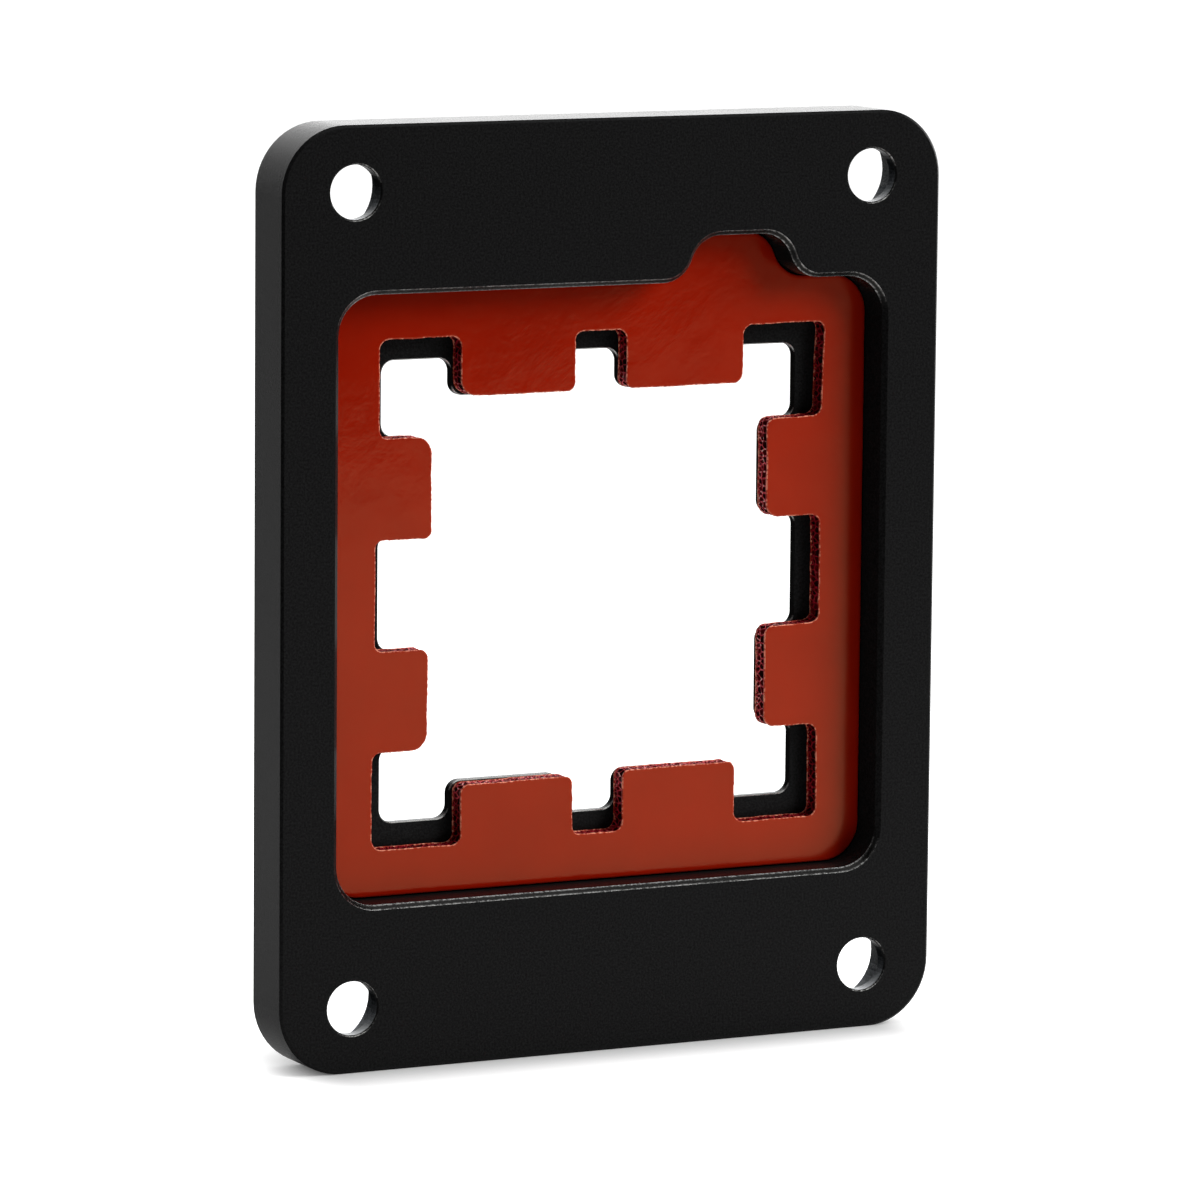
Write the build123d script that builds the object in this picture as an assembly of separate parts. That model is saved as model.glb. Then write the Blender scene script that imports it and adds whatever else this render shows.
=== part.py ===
from build123d import *
from math import acos, degrees, sqrt
import os

# CPU socket retention frame: a machined plate with a pocket and a castellated opening,
# and a sponge gasket that lies on the pocket's floor. Sizes are in millimetres.
# The plate stands on a short edge: +Z is up, the pocket faces -Y and the origin is the
# middle of the footprint. Depths are measured from the pocketed face towards +Y.

# Screw holes, with a bore for the screw head from the plain side
hole_spacing_x = 42.4
hole_spacing_z = 59.8
hole_diameter = 4.0
hole_chamfer = 0.12
head_bore_diameter = 7.1
head_web = 1.0

# Plate, which reaches past the screw holes by a margin at its sides and at its ends
side_margin = 5.8
end_margin = 4.85
plate_thickness = 5.0
plate_corner = 5.0
edge_chamfer = 0.2

# Pocket: a square with a bump on its upper edge, made of four equal arcs
pocket_size = 44.8
pocket_corner = 3.0
pocket_chamfer = 0.35
lip_thickness = 0.7
bump_centre = 10.45
bump_flat = 3.55
bump_height = 3.4
bump_radius = 2.5

# Opening through the lip, from its centre: tab tips, depths of the recesses, tab sides
tip_reach = 14.3
corner_recess = 2.8
middle_recess = 3.0
tab_outer_side = 11.5
level_tab_inner_side = 2.25
upright_tab_inner_side = 4.3
opening_corner = 1.0
opening_chamfer = 0.08

# Gasket. Its overhangs past the lip's tab tips and tab sides and its setback behind the
# lip's recesses are those before its opening is made taller and moved to the right.
gasket_thickness = 1.5
gasket_gap = 0.1
gasket_tip_overhang = 0.35
gasket_side_overhang = 0.15
gasket_setback = 1.35
gasket_corner = 0.7
gasket_opening_taller = 0.8
gasket_opening_shift = 0.15

plate_width = hole_spacing_x + 2 * side_margin
plate_height = hole_spacing_z + 2 * end_margin
pocket_depth = plate_thickness - lip_thickness
gasket_depth = pocket_depth - gasket_thickness
centre_height = plate_height / 2
near_face = -plate_thickness / 2


def slab(outline, start, end):
    """Extrudes an outline drawn about the plate's centre from one depth to another."""
    level = Plane(
        origin=(0, near_face + start, centre_height), x_dir=(1, 0, 0), z_dir=(0, -1, 0)
    )
    return extrude(level * outline, amount=start - end)


def pocket_outline():
    """The square with rounded corners and the bump, whose sides are two tangent arcs each."""
    turn = degrees(acos(1 - bump_height / (2 * bump_radius)))
    run = sqrt(bump_height * (4 * bump_radius - bump_height))
    half = pocket_size / 2
    left = bump_centre - bump_flat / 2 - run
    right = bump_centre + bump_flat / 2 + run
    with BuildLine() as contour:
        rise = JernArc((left, half), (1, 0), bump_radius, turn)
        shoulder = JernArc(rise @ 1, rise % 1, bump_radius, -turn)
        top = Line(shoulder @ 1, shoulder @ 1 + Vector(bump_flat, 0))
        fall = JernArc(top @ 1, (1, 0), bump_radius, -turn)
        foot = JernArc(fall @ 1, fall % 1, bump_radius, turn)
        Polyline(foot @ 1, (right, 0), (left, 0), (left, half))
    bump = make_face(contour.line)
    return RectangleRounded(pocket_size, pocket_size, pocket_corner) + bump


def castellated(tip, corner, middle, outer_side, level_side, upright_side, radius, taller=0):
    """An opening with two tabs on each side, corner and middle recesses and rounded corners.

    The reaches are from its centre to the sides; up and down it reaches further by taller / 2.
    """
    width = corner - outer_side
    height = width + taller / 2
    shape = Rectangle(2 * tip, 2 * tip + taller)
    for x in (-1, 1):
        for y in (-1, 1):
            at = Pos(x * (outer_side + width / 2), y * (outer_side + height / 2))
            shape += at * Rectangle(width, height)
    shape += Rectangle(2 * level_side, 2 * middle + taller)
    shape += Rectangle(2 * middle, 2 * upright_side)
    return fillet(shape.vertices(), radius)


def screw_hole():
    """One stepped hole with chamfered rims about the Y axis, to be cut from the plate."""
    far_face = -near_face
    bore = hole_diameter / 2
    head = head_bore_diameter / 2
    step = near_face + head_web
    beyond = 1.0
    reach = hole_chamfer + beyond
    profile = Polyline(
        (0, near_face - beyond),
        (bore + reach, near_face - beyond),
        (bore, near_face + hole_chamfer),
        (bore, step),
        (head, step),
        (head, far_face - hole_chamfer),
        (head + reach, far_face + beyond),
        (0, far_face + beyond),
        close=True,
    )
    return revolve(make_face(profile), Axis.Y)


def make_plate():
    body = slab(RectangleRounded(plate_width, plate_height, plate_corner), 0, plate_thickness)
    rims = body.faces().sort_by(Axis.Y)[0].edges() + body.faces().sort_by(Axis.Y)[-1].edges()
    body = chamfer(rims, edge_chamfer)
    body -= slab(pocket_outline(), 0, pocket_depth)
    pocket_rim = body.faces().sort_by(Axis.Y)[0].inner_wires()[0]
    body = chamfer(pocket_rim.edges(), pocket_chamfer)
    opening = castellated(
        tip_reach, tip_reach + corner_recess, tip_reach + middle_recess, tab_outer_side,
        level_tab_inner_side, upright_tab_inner_side, opening_corner,
    )
    body -= slab(opening, pocket_depth, plate_thickness)
    floor, back = body.faces().filter_by(Plane.XZ).sort_by(Axis.Y)[1:]
    rims = floor.inner_wires()[0].edges() + back.inner_wires()[0].edges()
    body = chamfer(rims, opening_chamfer)
    for x in (-hole_spacing_x / 2, hole_spacing_x / 2):
        for z in (-hole_spacing_z / 2, hole_spacing_z / 2):
            body -= Pos(x, 0, centre_height + z) * screw_hole()
    return body


def make_gasket():
    outline = offset(pocket_outline(), -gasket_gap)
    recess_reach = tip_reach + corner_recess + gasket_setback
    opening = castellated(
        tip_reach - gasket_tip_overhang, recess_reach, recess_reach,
        tab_outer_side + gasket_side_overhang, level_tab_inner_side - gasket_side_overhang,
        upright_tab_inner_side - gasket_side_overhang, gasket_corner, gasket_opening_taller,
    )
    opening = Pos(gasket_opening_shift, 0) * opening
    return slab(outline - opening, gasket_depth, pocket_depth)


os.makedirs("parts", exist_ok=True)
export_step(make_plate(), "parts/frame_plate.step")
export_step(make_gasket(), "parts/sponge_gasket.step")
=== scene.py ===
import math

import bmesh
import bpy
import numpy as np
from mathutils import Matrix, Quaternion, Vector


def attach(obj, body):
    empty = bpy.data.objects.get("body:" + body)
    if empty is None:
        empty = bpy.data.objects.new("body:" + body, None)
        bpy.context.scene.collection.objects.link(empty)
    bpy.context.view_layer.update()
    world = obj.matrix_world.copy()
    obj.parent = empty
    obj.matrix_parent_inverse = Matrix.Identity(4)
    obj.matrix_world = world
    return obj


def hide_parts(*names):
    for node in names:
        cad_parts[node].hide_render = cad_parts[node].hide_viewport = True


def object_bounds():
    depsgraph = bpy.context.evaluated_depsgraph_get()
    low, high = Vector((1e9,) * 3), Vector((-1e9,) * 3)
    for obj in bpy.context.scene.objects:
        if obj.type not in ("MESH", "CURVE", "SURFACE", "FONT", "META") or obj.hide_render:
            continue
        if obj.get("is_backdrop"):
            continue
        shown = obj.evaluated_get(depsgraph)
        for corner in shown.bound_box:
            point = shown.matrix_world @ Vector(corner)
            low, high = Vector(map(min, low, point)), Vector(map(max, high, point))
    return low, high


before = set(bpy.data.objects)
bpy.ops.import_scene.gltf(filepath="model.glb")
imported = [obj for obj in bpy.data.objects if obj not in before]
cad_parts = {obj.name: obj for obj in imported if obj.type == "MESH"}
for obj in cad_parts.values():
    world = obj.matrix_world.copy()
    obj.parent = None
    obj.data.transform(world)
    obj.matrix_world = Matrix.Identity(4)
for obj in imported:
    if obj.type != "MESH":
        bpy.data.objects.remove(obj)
cad_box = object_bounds()

MM = 0.001

# Camera: it looks at the middle of the front face, from the left and a little from above.
aim = Vector((-0.05, -0.17, 33.54)) * MM
camera_distance = 545.8 * MM
camera_azimuth = math.radians(26.87)
camera_elevation = math.radians(8.04)
camera_roll = math.radians(0.523)
camera_lens_mm = 220.9
camera_sensor_mm = 36.0
camera_nearest = 0.01
camera_furthest = 20.0

# Sponge pad, in millimetres. Its outline follows the pocket, a square with a bump on top.
pad_size = 44.6
pad_centre_z = 34.75
pad_corner = 2.9
pad_front_y = 0.3
pad_back_y = 1.795
bump_centre_x = 10.45
bump_flat = 3.55
bump_height = 3.4
bump_radius = 2.5
pocket_gap = 0.1
outline_step = 0.35

# The pad's opening as it was cut. Each side is walked clockwise, seen from the front: the
# places of its three recesses, of its two tab tips and of its tabs' four sides. Level
# edges are heights above the foot and upright edges are distances from the middle. An
# edge that slants has two values, for its start and its end.
pad_sides = {
    "top": {
        "recess": (53.57, 53.57, 53.52),
        "tip": (49.15, 49.17),
        "tabs": (-11.33, -2.00, 2.25, 11.97),
    },
    "right": {
        "recess": ((18.92, 18.60), 18.66, 18.60),
        "tip": (14.09, 14.09),
        "tabs": ((46.50, 46.35), 38.96, (30.78, 30.66), 23.04),
    },
    "bottom": {
        "recess": (15.97, 15.95, (15.86, 15.92)),
        "tip": ((20.61, 20.52), (20.37, 20.31)),
        "tabs": (11.63, 2.20, -1.95, -11.18),
    },
    "left": {
        "recess": (-18.44, -18.22, -17.92),
        "tip": (-13.93, -13.69),
        "tabs": (23.11, 30.60, 38.80, 46.29),
    },
}

# Radius of the opening's corners and how much it varies, and the corners that were cut
# wider, by their number in the walk
cut_corner = 0.7
cut_corner_spread = 0.12
wide_corners = {2: 1.2, 12: 1.0, 29: 1.35, 34: 1.25}
corner_points = 16

# Unevenness of the cut: its size, how many waves each band has and the band's share, and
# how ragged the skin's torn edge is
cut_wobble = 0.025
wobble_bands = ((26, 0.5), (75, 0.3), (190, 0.2))
cut_tear = 0.010
cut_samples = 1500
pad_seed = 7

# Rings of the pad's skin round the opening, from the sheet to the cut: how far each lies behind
# the cut, how far below the face, how much it has of the rim's pale colour, which is a painted
# highlight along the cut, and how ragged it is. Then the rings of the outer edge: how far outwards
# and how far below the face.
skin_thickness = 0.12
cut_rings = (
    (0.30, 0, 0, 0), (0.15, 0, 0, 0), (0.09, 0, 0, 0.3), (0.045, 0.004, 0.8, 0.7),
    (0.010, 0.02, 1.0, 1), (0.0, 0.06, 1.0, 1), (0.004, skin_thickness, 1.0, 1),
    (0.10, skin_thickness + 0.01, 1.0, 0),
)
outline_rings = ((-0.34, 0), (-0.2, 0), (-0.08, 0.01), (-0.02, 0.05), (0.0, 0.12))

# Cells of the sponge that the cut opened, in rows below the skin: each row's depth, the
# cells' pitch along the edge and how deep they go in. They are moved about along the edge,
# in pitches, and up or down, their depth varies, and they are longer down than along. A
# cell's neighbours are looked for within its reach, its sides are cut into steps, and the
# cells go on a little way under the skins.
cell_rows = ((0.48, 0.56, 0.50), (1.02, 0.48, 0.34), (1.38, 0.42, 0.16))
cell_shift = 0.34
cell_scatter = 0.20
cell_depth_spread = (0.55, 1.0)
cell_stretch = 1.5
cell_reach = 1.3
cell_side_step = 0.19
cell_overlap = 0.02

# Strands between the cells: half their width and how it varies, the most that they take of
# a cell, and how far they stand in and out
strand_half_width = 0.034
strand_width_spread = (0.5, 1.6)
strand_most = 0.3
strand_relief = 0.10
strand_base = 0.02
strand_sink = 0.01
strand_crown = 0.004
strand_fade = 0.08
ripple_waves = 12
ripple_pull = (4, 26)
ripple_spacing = 6

# A pit's rings: the first is further in than the strand, by its width times this, and the
# second is smaller and between the cell's own shape and a round one. Each has a share of
# the pit's depth.
pit_edge = 1.25
pit_edge_depth = 0.07
pit_size = 0.8
pit_own_shape = 0.55
pit_floor_depth = 0.75

# The share of cells that are closed by a membrane, its depth, its tone, and its shade, which is
# how much of the pits' painted shade it takes
closed_cells = 0.05
closed_depth = 0.05
closed_tone = 0.4
closed_shade = 0.8

# How pale the strands are, in the middle and by how much it varies, where that is read, and how
# much darker they are in the recesses, which begin that far from the middle; that darkening is
# painted shade
strand_tone = 0.5
strand_tone_spread = 0.9
strand_tone_scale = (1.9, 1.7)
strand_tone_shift = (0.3, 0.1)
recess_painted_shade_reach = 15.5
recess_painted_shade = 0.44


def make_camera():
    data = bpy.data.cameras.new("camera")
    data.lens = camera_lens_mm
    data.sensor_width = camera_sensor_mm
    data.clip_start = camera_nearest
    data.clip_end = camera_furthest
    camera = bpy.data.objects.new("camera", data)
    bpy.context.scene.collection.objects.link(camera)
    level = math.cos(camera_elevation)
    back = Vector((
        -math.sin(camera_azimuth) * level,
        -math.cos(camera_azimuth) * level,
        math.sin(camera_elevation),
    ))
    camera.location = aim + back * camera_distance
    camera.rotation_mode = "QUATERNION"
    turn = Quaternion((0, 0, 1), camera_roll)
    camera.rotation_quaternion = (-back).to_track_quat("-Z", "Y") @ turn
    bpy.context.scene.camera = camera


# Sponge pad

def trace(start, moves, step):
    """Points of a path that starts level to the right; each move is a length and a turn."""
    place = np.array(start, float)
    heading = 0.0
    points = []
    for length, turn in moves:
        count = max(1, math.ceil(length / step))
        part = turn / count
        chord = length / count
        if part:
            chord *= math.sin(part / 2) / (part / 2)
        for _ in range(count):
            points.append(place.copy())
            way = heading + part / 2
            place += chord * np.array((math.cos(way), math.sin(way)))
            heading += part
    return np.array(points)


def pad_outline(step):
    """The pad's outer outline, clockwise from the left foot of the bump."""
    bend = math.acos(1 - bump_height / (2 * bump_radius))
    run = math.sqrt(bump_height * (4 * bump_radius - bump_height))
    half = pad_size / 2
    straight = pad_size - 2 * pad_corner
    foot = (bump_radius + pocket_gap) * bend, bend
    shoulder = (bump_radius - pocket_gap) * bend, -bend
    corner = pad_corner * math.pi / 2, -math.pi / 2
    left = bump_centre_x - bump_flat / 2 - run
    right = bump_centre_x + bump_flat / 2 + run
    moves = [
        foot, shoulder, (bump_flat, 0), shoulder, foot,
        (half - pad_corner - right, 0), corner, (straight, 0), corner,
        (straight, 0), corner, (straight, 0), corner, (left + half - pad_corner, 0),
    ]
    return trace((left, pad_centre_z + half), moves, step)


def opening_corners():
    """Corners of the pad's opening, clockwise from the top left one."""
    walk = []
    for side in pad_sides.values():
        recess, tip, tabs = side["recess"], side["tip"], side["tabs"]
        walk += [recess[0], tabs[0], tip[0], tabs[1], recess[1]]
        walk += [tabs[2], tip[1], tabs[3], recess[2]]
    ends = [edge if isinstance(edge, tuple) else (edge, edge) for edge in walk]
    meets = [(ends[i - 1][1], ends[i][0]) for i in range(len(ends))]
    return np.array([pair if i % 2 == 0 else pair[::-1] for i, pair in enumerate(meets)])


def opening_loop(rng):
    """The cut edge, its places along it and its length.

    Its corners are rounded, and it is evenly sampled and a little uneven.
    """
    corners = opening_corners()
    radii = cut_corner + cut_corner_spread * rng.uniform(-1, 1, len(corners))
    for corner, radius in wide_corners.items():
        radii[corner] = radius
    before = corners - np.roll(corners, 1, axis=0)
    into = before / np.linalg.norm(before, axis=1)[:, None]
    out = np.roll(into, -1, axis=0)
    points = []
    for corner, radius, a, b in zip(corners, radii, into, out):
        middle = corner + radius * (b - a)
        for angle in np.linspace(0, math.pi / 2, corner_points):
            points.append(middle + radius * (a * math.sin(angle) - b * math.cos(angle)))
    points = np.array(points)
    closed = np.vstack([points, points[:1]])
    run = np.concatenate([[0], np.cumsum(np.linalg.norm(np.diff(closed, axis=0), axis=1))])
    at = np.linspace(0, run[-1], cut_samples, endpoint=False)
    loop = np.stack([np.interp(at, run, closed[:, k]) for k in (0, 1)], axis=1)
    normal = loop_normal(loop)
    for waves, share in wobble_bands:
        phase = rng.uniform(0, 2 * math.pi, waves)
        size = rng.normal(0, 1, waves)
        order = np.arange(1, waves + 1) + waves // 2
        angle = order[:, None] * at / run[-1] * 2 * math.pi + phase[:, None]
        wave = (size[:, None] * np.sin(angle)).sum(0)
        loop = loop + normal * (wave / wave.std() * cut_wobble * share)[:, None]
    return loop, at, run[-1]


def loop_normal(loop):
    """Unit normals of a clockwise loop, away from what it encloses."""
    ahead = np.roll(loop, -2, axis=0) - np.roll(loop, 2, axis=0)
    ahead /= np.linalg.norm(ahead, axis=1)[:, None]
    return np.stack([-ahead[:, 1], ahead[:, 0]], axis=1)


def clip(polygon, point, normal):
    """The part of a convex polygon that lies behind a line."""
    kept = []
    side = (polygon - point) @ normal
    for i in range(len(polygon)):
        a, b = side[i - 1], side[i]
        if (a > 0) != (b > 0):
            kept.append(polygon[i - 1] + (polygon[i] - polygon[i - 1]) * a / (a - b))
        if b <= 0:
            kept.append(polygon[i])
    return np.array(kept)


def smooth(low, high, value):
    """0 below low, 1 above high and a smooth step between them."""
    share = np.clip((value - low) / (high - low), 0, 1)
    return share * share * (3 - 2 * share)


def cell_polygons(length, top, bottom, rng):
    """The cut cells as polygons in the wall's plane, along it and down from the skin."""
    seeds, deep = [], []
    for depth, pitch, size in cell_rows:
        count = round(length / pitch)
        shift = rng.uniform(-cell_shift, cell_shift, count)
        along = (np.arange(count) + shift) * length / count
        scatter = rng.uniform(-cell_scatter, cell_scatter, count)
        seeds.append(np.stack([along, depth + scatter], axis=1))
        deep.append(size * rng.uniform(*cell_depth_spread, count))
    seeds, deep = np.vstack(seeds), np.concatenate(deep)
    stretch = np.array((1, cell_stretch))
    flat = seeds / stretch
    around = np.vstack([flat - (length, 0), flat, flat + (length, 0)])
    around = around[np.argsort(around[:, 0])]
    box = np.array([
        (-cell_reach, top), (cell_reach, top), (cell_reach, bottom), (-cell_reach, bottom),
    ])
    for seed, size in zip(flat, deep):
        first, last = np.searchsorted(
            around[:, 0], (seed[0] - cell_reach, seed[0] + cell_reach)
        )
        near = around[first:last]
        gap = np.linalg.norm(near - seed, axis=1)
        order = np.argsort(gap)[1:]
        polygon = (box + (seed[0], 0)) / stretch
        for other, away in zip(near[order], gap[order]):
            if away > 2 * np.linalg.norm(polygon - seed, axis=1).max():
                break
            polygon = clip(polygon, (seed + other) / 2, other - seed)
            if len(polygon) < 3:
                break
        if len(polygon) >= 3:
            yield polygon * stretch, size


def sided(polygon, step):
    """The polygon with its sides cut into even steps."""
    points = []
    for a, b in zip(polygon, np.roll(polygon, -1, axis=0)):
        count = max(1, math.ceil(np.linalg.norm(b - a) / step))
        points += [a + (b - a) * k / count for k in range(count)]
    return np.array(points)


def inner_radius(polygon, middle):
    """Least distance from a point to the polygon's sides."""
    run = np.roll(polygon, -1, axis=0) - polygon
    long = np.linalg.norm(run, axis=1)
    real = long > 1e-6
    run, off = run[real], (middle - polygon)[real]
    return (np.abs(run[:, 0] * off[:, 1] - run[:, 1] * off[:, 0]) / long[real]).min()


class Shell:
    """Vertices, faces and per-vertex values of the pad, put together ring by ring."""

    def __init__(self):
        self.points, self.faces, self.values = [], [], []
        self.count = 0

    def add(self, points, *values):
        """Adds points with their values and returns their numbers."""
        number = len(points)
        self.points.append(points)
        self.values.append(np.column_stack([np.broadcast_to(v, number) for v in values]))
        self.count += number
        return np.arange(self.count - number, self.count)

    def bands(self, rings):
        """Quads between each closed ring and the next."""
        for a, b in zip(rings, rings[1:]):
            quads = np.stack([a, b, np.roll(b, -1), np.roll(a, -1)], axis=1)
            self.faces += quads.tolist()

    def fan(self, ring, middle):
        """Triangles between a closed ring and a point."""
        ahead = np.roll(ring, -1)
        self.faces += [[int(a), int(middle), int(b)] for a, b in zip(ring, ahead)]


def add_cells(shell, loop, at, length, rng):
    """The cells on the cut wall: thin strands round pits, some closed by a membrane."""
    loop = np.vstack([loop, loop[:1]])
    normal = loop_normal(loop[:-1])
    normal = np.vstack([normal, normal[:1]])
    at = np.append(at, length)
    phase = rng.uniform(0, 2 * math.pi, ripple_waves)
    pull = rng.uniform(*ripple_pull, (ripple_waves, 2))

    def wall(flat, inward):
        """Points of the wall's plane, taken onto the pad and pushed into it."""
        along = flat[:, 0] % length
        place = np.stack([np.interp(along, at, loop[:, k]) for k in (0, 1)], axis=1)
        away = np.stack([np.interp(along, at, normal[:, k]) for k in (0, 1)], axis=1)
        place += away * np.reshape(inward, (-1, 1))
        return np.column_stack([place[:, 0], pad_front_y + flat[:, 1], place[:, 1]])

    def ripple(flat):
        """A mean of waves over the wall that join up where the loop closes."""
        turn = 2 * math.pi / length * np.round(pull[:, 0] * length / ripple_spacing)
        return np.sin(flat[:, :1] * turn + flat[:, 1:] * pull[:, 1] + phase).mean(axis=1)

    thickness = pad_back_y - pad_front_y
    top, bottom = skin_thickness - cell_overlap, thickness - cell_overlap
    for polygon, size in cell_polygons(length, top, bottom, rng):
        middle = polygon.mean(axis=0)
        radius = inner_radius(polygon, middle)
        rim = sided(polygon, cell_side_step)
        width = strand_half_width * rng.uniform(*strand_width_spread)
        width = min(width, strand_most * radius)
        lift = strand_base + strand_relief * ripple(rim)
        edge = smooth(top, top + strand_fade, rim[:, 1])
        edge = edge * (1 - smooth(bottom - strand_fade, bottom, rim[:, 1]))
        lift = lift * edge + strand_sink
        closed = rng.uniform() < closed_cells
        deep = closed_depth if closed else size
        own, shade = rng.uniform(), 1.0
        if closed:
            own, shade = closed_tone * own, closed_shade
        # The strands' tone; its palest values are painted glints
        strand_tone_and_glint = ripple(rim * strand_tone_scale + strand_tone_shift)
        strand_tone_and_glint = strand_tone + strand_tone_spread * strand_tone_and_glint
        x, _, z = wall(middle[None], 0.0)[0]
        # Strands in the recesses are darkened, as painted shade
        if max(abs(x), abs(z - pad_centre_z)) > recess_painted_shade_reach:
            strand_tone_and_glint = strand_tone_and_glint * recess_painted_shade
        offset = rim - middle
        round_rim = offset / np.linalg.norm(offset / (1, cell_stretch), axis=1)[:, None]
        round_rim = round_rim * radius
        rings = [shell.add(wall(rim, lift), 0.0, strand_tone_and_glint)]
        shrink = 1 - width / max(radius, 1e-3)
        crown = wall(middle + offset * shrink, lift + strand_crown)
        rings.append(shell.add(crown, 0.0, strand_tone_and_glint))
        shrink = 1 - pit_edge * width / max(radius, 1e-3)
        brink = wall(middle + offset * shrink, lift + pit_edge_depth * deep)
        rings.append(shell.add(brink, shade, own))
        inside = pit_own_shape * offset * shrink + (1 - pit_own_shape) * round_rim
        below = wall(middle + inside * pit_size, lift.mean() + pit_floor_depth * deep)
        rings.append(shell.add(below, shade, own))
        shell.bands(rings)
        end = shell.add(wall(middle[None], lift.mean() + deep), shade, own)
        shell.fan(rings[-1], end[0])


def make_pad():
    """The pad: a skin in front, one at the back, the outer edge, and the cut cells."""
    rng = np.random.default_rng(pad_seed)
    loop, at, length = opening_loop(rng)
    normal = loop_normal(loop)
    outline = pad_outline(outline_step)
    away = loop_normal(outline)
    shell = Shell()

    def ring(path, outward, inset, y, cut, torn=0.0):
        """A ring at a depth, moved off its path and roughened."""
        inset = inset + torn * rng.normal(0, cut_tear, (len(path), 1))
        place = path + outward * inset
        level = np.full(len(path), y)
        return shell.add(np.column_stack([place[:, 0], level, place[:, 1]]), 0.0, cut)

    sheets = []
    for face_y, down in ((pad_front_y, 1), (pad_back_y, -1)):
        hole = [
            ring(loop, normal, inset, face_y + down * depth, cut, torn)
            for inset, depth, cut, torn in cut_rings
        ]
        rim = [
            ring(outline, away, inset, face_y + down * depth, 0)
            for inset, depth in outline_rings
        ]
        shell.bands(hole)
        shell.bands(rim)
        sheets.append((hole[0], rim[0], rim[-1]))
    shell.bands([edge for _, _, edge in sheets])
    solid_faces = len(shell.faces)
    add_cells(shell, loop, at, length, rng)

    mesh = bpy.data.meshes.new("sponge_pad")
    mesh.from_pydata(np.vstack(shell.points) * MM, [], shell.faces)
    values = np.vstack(shell.values).astype(np.float32)
    for k, name in enumerate(("pore", "cut")):
        layer = mesh.attributes.new(name, "FLOAT", "POINT")
        layer.data.foreach_set("value", np.ascontiguousarray(values[:, k]))
    slots = np.zeros(len(mesh.polygons), np.int32)
    slots[solid_faces:] = 1
    mesh.materials.append(red_sponge())
    mesh.materials.append(cut_sponge())
    mesh.polygons.foreach_set("material_index", slots)
    fill_sheets(mesh, sheets)
    mesh.shade_smooth()

    pad = bpy.data.objects.new("sponge_pad", mesh)
    bpy.context.scene.collection.objects.link(pad)
    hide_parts("sponge_gasket")
    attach(pad, "root")


def fill_sheets(mesh, sheets):
    """Fills each flat sheet between its two inner rings, and joins doubled vertices."""
    build = bmesh.new()
    build.from_mesh(mesh)
    build.verts.ensure_lookup_table()
    for hole, rim, _ in sheets:
        edges = []
        for row in (hole, rim):
            for i, j in zip(row, np.roll(row, -1)):
                edges.append(build.edges.get((build.verts[int(i)], build.verts[int(j)])))
        bmesh.ops.triangle_fill(build, use_beauty=True, edges=edges, normal=(0, -1, 0))
    bmesh.ops.remove_doubles(build, verts=build.verts, dist=1e-7)
    bmesh.ops.recalc_face_normals(build, faces=build.faces)
    build.to_mesh(mesh)
    build.free()


# Nodes

def nodes_of(name):
    """A new material, its node tree and the Principled shader in it."""
    material = bpy.data.materials.new(name)
    material.use_nodes = True
    tree = material.node_tree
    return material, tree, tree.nodes["Principled BSDF"]


def node(tree, kind, **values):
    """A new node; names of inputs go in with their values, and the rest are settings."""
    made = tree.nodes.new(kind)
    for key, value in values.items():
        if key in made.inputs:
            made.inputs[key].default_value = value
        else:
            setattr(made, key, value)
    return made


def feed(tree, socket, value):
    """Links another node's output to the socket, or sets its number or colour."""
    if isinstance(value, bpy.types.NodeSocket):
        tree.links.new(value, socket)
    elif isinstance(value, tuple):
        socket.default_value = (*value, 1)
    else:
        socket.default_value = value


def ramp(tree, source, stops):
    """Colours between stops, each a position and a colour."""
    made = tree.nodes.new("ShaderNodeValToRGB")
    elements = made.color_ramp.elements
    while len(elements) < len(stops):
        elements.new(0.5)
    for element, (position, colour) in zip(elements, stops):
        element.position = position
        element.color = (*colour, 1)
    tree.links.new(source, made.inputs["Fac"])
    return made.outputs["Color"]


def mix(tree, factor, a, b):
    """The first colour where the factor is 0 and the second where it is 1."""
    made = tree.nodes.new("ShaderNodeMix")
    made.data_type = "RGBA"
    # 6 and 7 are the sockets A and B for colours; numbers and vectors have their own
    for socket, value in zip((made.inputs["Factor"], *made.inputs[6:8]), (factor, a, b)):
        feed(tree, socket, value)
    return made.outputs[2]


def maths(tree, operation, *values):
    """A maths node on sockets and numbers."""
    made = node(tree, "ShaderNodeMath", operation=operation)
    for socket, value in zip(made.inputs, values):
        feed(tree, socket, value)
    return made.outputs[0]


def span(tree, value, low, high, start=0.0, end=1.0, kind="SMOOTHSTEP"):
    """Goes from start to end as the value goes from low to high."""
    made = node(tree, "ShaderNodeMapRange", interpolation_type=kind)
    names = ("Value", "From Min", "From Max", "To Min", "To Max")
    for name, given in zip(names, (value, low, high, start, end)):
        feed(tree, made.inputs[name], given)
    return made.outputs["Result"]


def blend(tree, value, start, end):
    """Goes evenly from start to end as the value goes from 0 to 1."""
    return span(tree, value, 0.0, 1.0, start, end, kind="LINEAR")


def noise(tree, place, scale, detail, roughness):
    """Noise, with its scale per metre."""
    made = node(tree, "ShaderNodeTexNoise", Scale=scale, Detail=detail, Roughness=roughness)
    tree.links.new(place, made.inputs["Vector"])
    return made.outputs["Fac"]


def bump(tree, height, strength, distance):
    """A bump node, whose own Normal input is left free for a bump under it."""
    made = node(tree, "ShaderNodeBump", Strength=strength, Distance=distance)
    tree.links.new(height, made.inputs["Height"])
    return made


def parts(tree, vector):
    """X, Y and Z of a vector."""
    made = tree.nodes.new("ShaderNodeSeparateXYZ")
    tree.links.new(vector, made.inputs[0])
    return [made.outputs[axis] for axis in "XYZ"]


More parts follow.
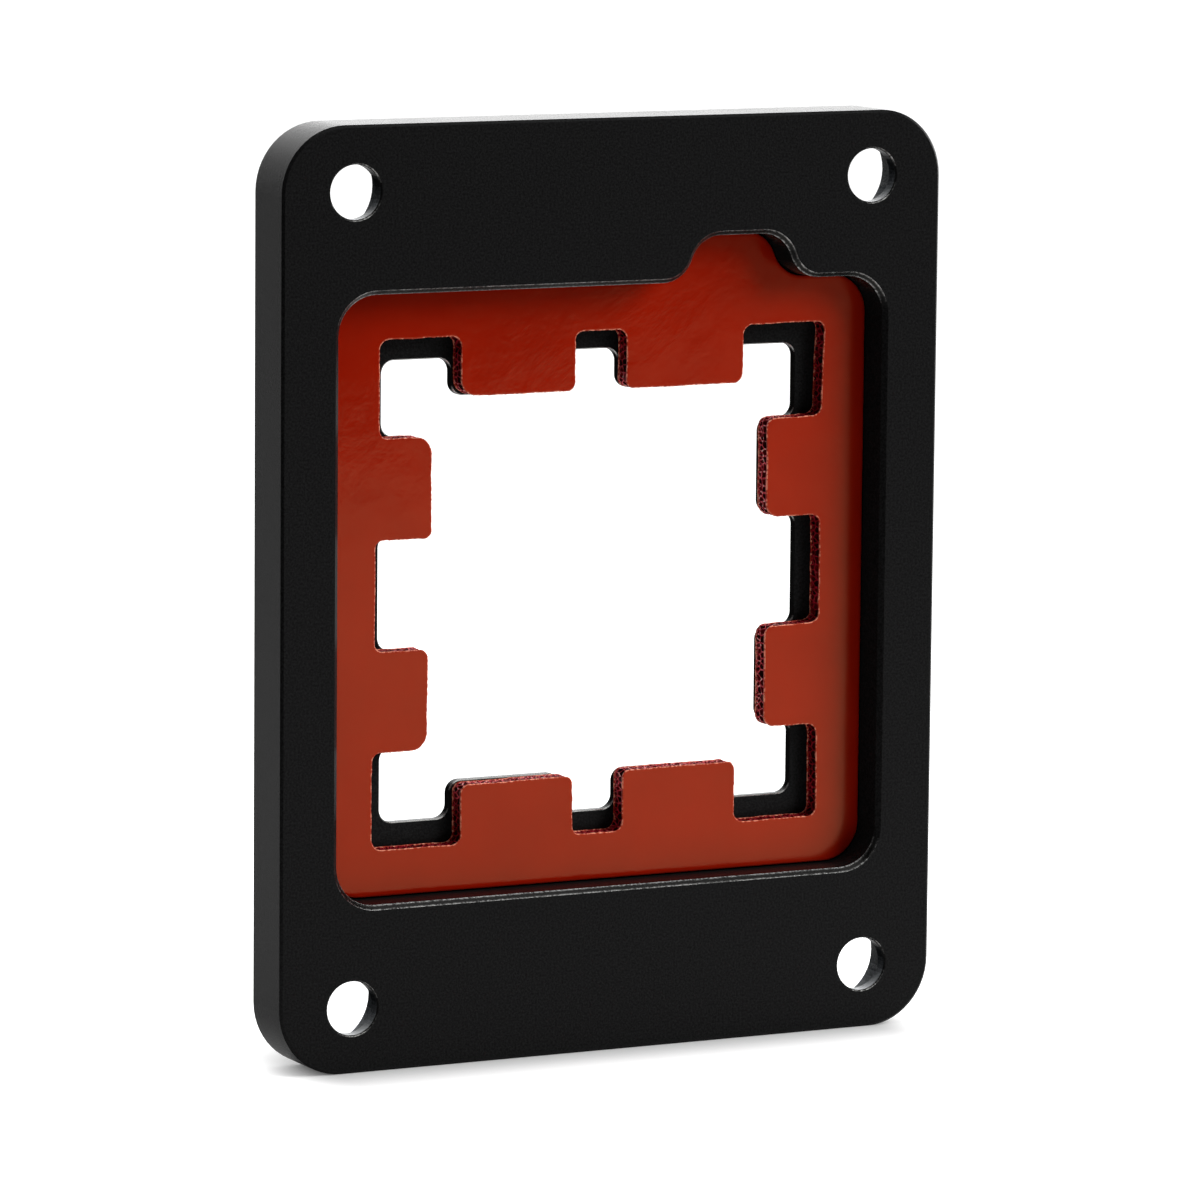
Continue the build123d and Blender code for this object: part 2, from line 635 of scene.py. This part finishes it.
def object_place(tree):
    return tree.nodes.new("ShaderNodeTexCoord").outputs["Object"]


def attribute(tree, name):
    made = tree.nodes.new("ShaderNodeAttribute")
    made.attribute_name = name
    return made.outputs["Fac"]


def reflection(tree, ray):
    """1 for rays that were reflected or passed through something."""
    return maths(tree, "MAXIMUM", ray.outputs["Is Glossy Ray"], ray.outputs["Is Transmission Ray"])


# Plate material. Places are in millimetres: half the width and height of the plate's
# middle, which its outer edges aren't in, the middle depth of the chamfer round the pocket
# and half its depth, and the screw holes' places and how far round them counts as them.
rim_free_x = 24.5
rim_free_z = 33.0
chamfer_y = -2.325
chamfer_half = 0.175
hole_x = 21.2
hole_z = 29.9
hole_reach = 3.7

# A front chamfer's normal along Y and how near to it counts, how much a chamfer must face up or
# down to get its bare metal and painted highlights, how much a wall must face left to lose its
# gloss, and how far a hole's wall may lean
chamfer_slant = -math.sqrt(0.5)
chamfer_slant_reach = 0.15
highlit_chamfer_facing = (0.15, 0.50)
dull_facing = (-0.5, -0.9)
bore_facing_reach = 0.1

plate_gloss = 0.048
plate_rough = (0.22, 0.28)
plate_patch = (220.0, 3.0, 0.5)
plate_grain = (6000.0, 3.0, 0.7)
plate_grain_bump = (0.35, 0.00005)
plate_speckle = (5000.0, 2.0, 0.7)
plate_colours = ((0.36, (0.0050, 0.0050, 0.0051)), (0.64, (0.0132, 0.0133, 0.0135)))

# Bare metal on the worn chamfers, with painted highlights: the speckle's range and its least
# value, how fast it gathers at their edges as a painted edge highlight, and its colours
worn_speckle = (0.38, 0.62)
worn_least = 0.20
edge_highlight_gather = 2.0
worn_metal_and_highlight_colours = ((0.10, (0.022, 0.022, 0.021)), (0.80, (0.42, 0.42, 0.41)))

# Walls of the screw holes, painted paler where they face up, as painted light from above: how much
# their tone takes from facing up and from the speckle, what it starts from, and its colours
bore_painted_light_upward = 0.5
bore_start = 0.35
bore_speckle = 0.3
bore_painted_light_colours = (
    (0.40, (0.012, 0.013, 0.014)), (0.62, (0.066, 0.071, 0.076)),
    (0.95, (0.420, 0.440, 0.460)),
)


def plate_places(tree, place):
    """What is where on the plate, as values from 0 to 1.

    Returns the chamfers inside its outline that face up or down, which are worn and carry painted
    highlights, how near a point is to a chamfer's edges, the walls of the screw holes, the walls
    inside the outline that face left and only see the dark side of the room, and the normal's
    height.
    """
    x, y, z = parts(tree, place)
    aside = maths(tree, "ABSOLUTE", x)
    raised = maths(tree, "ABSOLUTE", maths(tree, "SUBTRACT", z, pad_centre_z * MM))
    inside = maths(
        tree, "MULTIPLY",
        maths(tree, "LESS_THAN", aside, rim_free_x * MM),
        maths(tree, "LESS_THAN", raised, rim_free_z * MM),
    )
    normal = tree.nodes.new("ShaderNodeNewGeometry").outputs["True Normal"]
    facing_x, facing_y, facing_z = parts(tree, normal)
    slanted = maths(tree, "COMPARE", facing_y, chamfer_slant, chamfer_slant_reach)
    # Only chamfers that face up or down get the bare metal and painted highlights
    level = span(tree, maths(tree, "ABSOLUTE", facing_z), *highlit_chamfer_facing)
    worn_and_highlit = maths(tree, "MULTIPLY", inside, maths(tree, "MULTIPLY", slanted, level))
    depth = maths(tree, "ABSOLUTE", maths(tree, "SUBTRACT", y, chamfer_y * MM))
    edge = maths(tree, "DIVIDE", depth, chamfer_half * MM)
    bore = maths(
        tree, "MULTIPLY",
        maths(tree, "COMPARE", aside, hole_x * MM, hole_reach * MM),
        maths(tree, "COMPARE", raised, hole_z * MM, hole_reach * MM),
    )
    straight = maths(tree, "COMPARE", facing_y, 0.0, bore_facing_reach)
    bore = maths(tree, "MULTIPLY", bore, straight)
    away = maths(tree, "MULTIPLY", inside, span(tree, facing_x, *dull_facing))
    return worn_and_highlit, edge, bore, away, facing_z


def black_anodised():
    """Bead-blasted black aluminium, bare in specks on the worn chamfers that face up or down, with
    painted highlights at their edges, and with the screw holes' walls painted paler where they
    face up, as painted light.
    """
    material, tree, shader = nodes_of("black_anodised")
    place = object_place(tree)
    worn_and_highlit, edge, bore, away, upward = plate_places(tree, place)
    grain = noise(tree, place, *plate_grain)
    colour = ramp(tree, grain, plate_colours)
    speckle = noise(tree, place, *plate_speckle)
    spots = span(tree, speckle, *worn_speckle, worn_least, 1.0, kind="LINEAR")
    # The specks gather at the chamfers' edges as painted edge highlights
    shown = maths(tree, "MULTIPLY", spots, maths(tree, "POWER", edge, edge_highlight_gather))
    metal_and_highlight = ramp(tree, shown, worn_metal_and_highlight_colours)
    # Hole walls are painted paler where they face up, as painted light
    bore_painted_light = maths(tree, "MULTIPLY_ADD", upward, bore_painted_light_upward, bore_start)
    bore_painted_light = maths(tree, "MULTIPLY_ADD", speckle, bore_speckle, bore_painted_light)
    colour = mix(tree, bore, colour, ramp(tree, bore_painted_light, bore_painted_light_colours))
    tree.links.new(mix(tree, worn_and_highlit, colour, metal_and_highlight), shader.inputs["Base Color"])
    tree.links.new(worn_and_highlit, shader.inputs["Metallic"])
    rough = blend(tree, noise(tree, place, *plate_patch), *plate_rough)
    tree.links.new(rough, shader.inputs["Roughness"])
    blasted = bump(tree, grain, *plate_grain_bump)
    tree.links.new(blasted.outputs["Normal"], shader.inputs["Normal"])
    gloss = maths(tree, "SUBTRACT", plate_gloss, maths(tree, "MULTIPLY", away, plate_gloss))
    tree.links.new(gloss, shader.inputs["Specular IOR Level"])
    return material


# Pad materials. Noises are a scale, a detail and a roughness; bumps are a strength and a
# distance in metres.
skin_cloud = (160.0, 3.0, 0.5)
skin_colours = ((0.35, (0.315, 0.0068, 0.0003)), (0.65, (0.350, 0.0082, 0.0005)))
skin_grain = (3000.0, 2.0, 0.5)
skin_grain_bump = (0.2, 0.00001)
skin_wave = (350.0, 4.0, 0.6)
skin_wave_bump = (1.0, 0.00002)
skin_gloss = 0.62
skin_tint = (1.0, 0.54, 0.26, 1)
rim_noise = (3500.0, 2.0, 0.6)
rim_highlight_colours = ((0.46, (0.40, 0.016, 0.008)), (0.58, (1.00, 0.36, 0.24)))
rim_rough = 0.5

# The skin is a little less shiny from the middle to the right: places in millimetres and
# the roughness at each
skin_dulls = (6, 22)
skin_rough = (0.10, 0.19)

# Strand colours from dark crimson to near-white; the near-white end is painted glints
strand_colours_and_glints = (
    (0.15, (0.24, 0.004, 0.010)), (0.32, (0.48, 0.012, 0.032)), (0.60, (0.88, 0.090, 0.120)),
    (0.85, (1.00, 0.72, 0.66)),
)
# Pit colours, far darker than the foam, as painted shade in the pits
pit_painted_shade_colours = ((0.3, (0.030, 0.0004, 0.0006)), (0.9, (0.170, 0.0014, 0.0026)))
cell_rough = 0.6
cell_gloss = 0.06


def red_sponge():
    """The pad's smooth skin, ragged where it was cut, with a painted highlight along the cut."""
    material, tree, shader = nodes_of("red_sponge")
    place = object_place(tree)
    cut = attribute(tree, "cut")
    skin = ramp(tree, noise(tree, place, *skin_cloud), skin_colours)
    # A pale painted highlight along the cut edge, broken up by noise
    rim = ramp(tree, noise(tree, place, *rim_noise), rim_highlight_colours)
    tree.links.new(mix(tree, cut, skin, rim), shader.inputs["Base Color"])
    left, right = skin_dulls
    handled = span(tree, parts(tree, place)[0], left * MM, right * MM, *skin_rough)
    tree.links.new(blend(tree, cut, handled, rim_rough), shader.inputs["Roughness"])
    wave = bump(tree, noise(tree, place, *skin_wave), *skin_wave_bump)
    fine = bump(tree, noise(tree, place, *skin_grain), *skin_grain_bump)
    tree.links.new(wave.outputs["Normal"], fine.inputs["Normal"])
    tree.links.new(fine.outputs["Normal"], shader.inputs["Normal"])
    shader.inputs["Specular IOR Level"].default_value = skin_gloss
    shader.inputs["Specular Tint"].default_value = skin_tint
    return material


def cut_sponge():
    """The cells that the cut opened: torn strands, whose palest tones are painted glints, round
    pits that are painted dark as painted shade.
    """
    material, tree, shader = nodes_of("red_sponge_cut")
    pore = attribute(tree, "pore")
    own = attribute(tree, "cut")
    strand = ramp(tree, own, strand_colours_and_glints)
    pit_shade = ramp(tree, own, pit_painted_shade_colours)
    tree.links.new(mix(tree, pore, strand, pit_shade), shader.inputs["Base Color"])
    shader.inputs["Roughness"].default_value = cell_rough
    shader.inputs["Specular IOR Level"].default_value = cell_gloss
    return material


def dress(obj, material):
    obj.data.materials.clear()
    obj.data.materials.append(material)


# Studio, in metres. Softboxes face one point: each has a place, a side and a radiance.
softbox_target = (0, 0, 0.03)
softboxes = {
    "softbox_top": ((0.05, 0.0, 0.60), 0.6, 1.2),
    "softbox_right": ((0.41, -0.33, 0.34), 0.34, 9.0),
    "softbox_left": ((-0.50, -0.02, 0.28), 0.3, 0.8),
}

# The bright wall behind: its direction, where its side edges fade, up to what height it
# reaches and over what height it fades
backlight_azimuth = math.radians(30)
backlight_strength = 2.6
backlight_edge = (0.50, 0.80)
backlight_height = 0.48
backlight_fade = 0.25
room_strength = 0.04

# The floor: its front edge from left to right, its other sides, and its tone from left to
# right, after the shift
floor_front = ((-0.10, 0.02), (-0.10, -0.30), (0.10, -0.30), (0.32, -0.54))
floor_side = 2.0
floor_far = 2.5
floor_rough = 0.9
floor_shift = 0.10
floor_tones = ((0.03, 0.60), (0.07, 0.84), (0.17, 0.84), (0.26, 0.42), (0.50, 0.12))

# Half the length of the edge that the plate stands on, in millimetres, and round it the floor's
# glow and its painted contact shadow, how far they reach, and how much shorter that is beside the
# edge
foot_half = 22.0
floor_glow = 0.02
floor_painted_contact_shadow = 0.76
floor_glow_reach = 0.014
floor_glow_beside = 2.0

# Where the camera's view of the floor begins, for reflections, and how that fades in
floor_shown_front = -0.045
floor_shown_fade = 0.03

white = (1, 1, 1, 1)


def make_softbox(name, place, side, radiance):
    """A square area light of that radiance, which the camera doesn't see."""
    data = bpy.data.lights.new(name, "AREA")
    data.shape = "RECTANGLE"
    data.size = side
    data.size_y = side
    data.energy = math.pi * radiance * side * side
    light = bpy.data.objects.new(name, data)
    bpy.context.scene.collection.objects.link(light)
    light.location = place
    light.rotation_mode = "QUATERNION"
    way = Vector(softbox_target) - Vector(place)
    light.rotation_quaternion = way.to_track_quat("-Z", "Y")
    light.visible_camera = False


def make_world():
    """A dim room with a bright wall behind, to the right, and white where it is the background.

    The camera sees white, and so do reflections and transmission towards that wall.
    """
    world = bpy.data.worlds.new("studio")
    bpy.context.scene.world = world
    world.use_nodes = True
    tree = world.node_tree
    room = tree.nodes["Background"]
    ray = tree.nodes.new("ShaderNodeLightPath")
    way = tree.nodes.new("ShaderNodeTexCoord").outputs["Generated"]
    towards = node(tree, "ShaderNodeVectorMath", operation="DOT_PRODUCT")
    towards.inputs[1].default_value = (
        math.sin(backlight_azimuth), math.cos(backlight_azimuth), 0,
    )
    tree.links.new(way, towards.inputs[0])
    sector = span(tree, towards.outputs["Value"], *backlight_edge)
    top = backlight_height + backlight_fade
    low = span(tree, parts(tree, way)[2], backlight_height, top, 1.0, 0.0)
    wall = maths(tree, "MULTIPLY", sector, low)
    light = blend(tree, wall, room_strength, backlight_strength)
    behind = maths(tree, "MULTIPLY", sector, reflection(tree, ray))
    tree.links.new(maths(tree, "MAXIMUM", light, behind), room.inputs["Strength"])
    room.inputs["Color"].default_value = white
    seen = tree.nodes.new("ShaderNodeBackground")
    seen.inputs["Color"].default_value = white
    both = tree.nodes.new("ShaderNodeMixShader")
    tree.links.new(ray.outputs["Is Camera Ray"], both.inputs[0])
    tree.links.new(room.outputs[0], both.inputs[1])
    tree.links.new(seen.outputs[0], both.inputs[2])
    tree.links.new(both.outputs[0], tree.nodes["World Output"].inputs["Surface"])


def floor_white():
    """The floor's material, which looks white but for the object's shadow.

    Near the object it is as the lamps light it, which is nearly white, and its colour is darkened
    towards the foot as a painted contact shadow. Further off it glows white to the camera, and to
    reflections it glows by as much as its colour is short of white. In front of what the camera
    sees, reflections see it without a glow.
    """
    material, tree, shader = nodes_of("floor_white")
    shader.inputs["Roughness"].default_value = floor_rough
    x, y, _ = parts(tree, object_place(tree))
    stops = [(position, (tone, tone, tone)) for position, tone in floor_tones]
    grey = ramp(tree, maths(tree, "ADD", x, floor_shift), stops)
    beside = maths(tree, "SUBTRACT", maths(tree, "ABSOLUTE", x), foot_half * MM)
    beside = maths(tree, "MAXIMUM", beside, 0.0)
    away = tree.nodes.new("ShaderNodeCombineXYZ")
    feed(tree, away.inputs["X"], maths(tree, "MULTIPLY", beside, floor_glow_beside))
    feed(tree, away.inputs["Y"], y)
    reach = node(tree, "ShaderNodeVectorMath", operation="LENGTH")
    tree.links.new(away.outputs[0], reach.inputs[0])
    near = reach.outputs["Value"]
    glow = span(tree, near, 0.0, floor_glow_reach, floor_glow, 1.0)
    # The floor's colour is darkened near the foot, as a painted contact shadow
    painted_contact_shadow = span(tree, near, 0.0, floor_glow_reach, floor_painted_contact_shadow, 1.0)
    base = mix(tree, painted_contact_shadow, (0.0, 0.0, 0.0), grey)
    tree.links.new(base, shader.inputs["Base Color"])
    shown = span(tree, y, floor_shown_front - floor_shown_fade, floor_shown_front)
    missing = maths(tree, "MULTIPLY", shown, maths(tree, "SUBTRACT", 1.0, grey))
    ray = tree.nodes.new("ShaderNodeLightPath")
    reflected = maths(tree, "MULTIPLY", reflection(tree, ray), missing)
    seen = maths(tree, "MAXIMUM", ray.outputs["Is Camera Ray"], reflected)
    tree.links.new(maths(tree, "MULTIPLY", glow, seen), shader.inputs["Emission Strength"])
    shader.inputs["Emission Color"].default_value = white
    return material


def make_floor():
    mesh = bpy.data.meshes.new("floor")
    edge = [
        (-floor_side, floor_front[0][1]), *floor_front, (floor_side, floor_front[-1][1]),
        (floor_side, floor_far), (-floor_side, floor_far),
    ]
    mesh.from_pydata([(x, y, 0) for x, y in edge], [], [range(len(edge))])
    mesh.materials.append(floor_white())
    floor = bpy.data.objects.new("floor", mesh)
    bpy.context.scene.collection.objects.link(floor)
    floor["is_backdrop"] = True


make_camera()
make_world()
make_floor()
for name, (place, side, radiance) in softboxes.items():
    make_softbox(name, place, side, radiance)
dress(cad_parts["frame_plate"], black_anodised())
make_pad()

bpy.context.scene.view_settings.view_transform = "Standard"
boxes = {"cad": cad_box, "visual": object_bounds()}
{name: [list(corner) for corner in box] for name, box in boxes.items()}
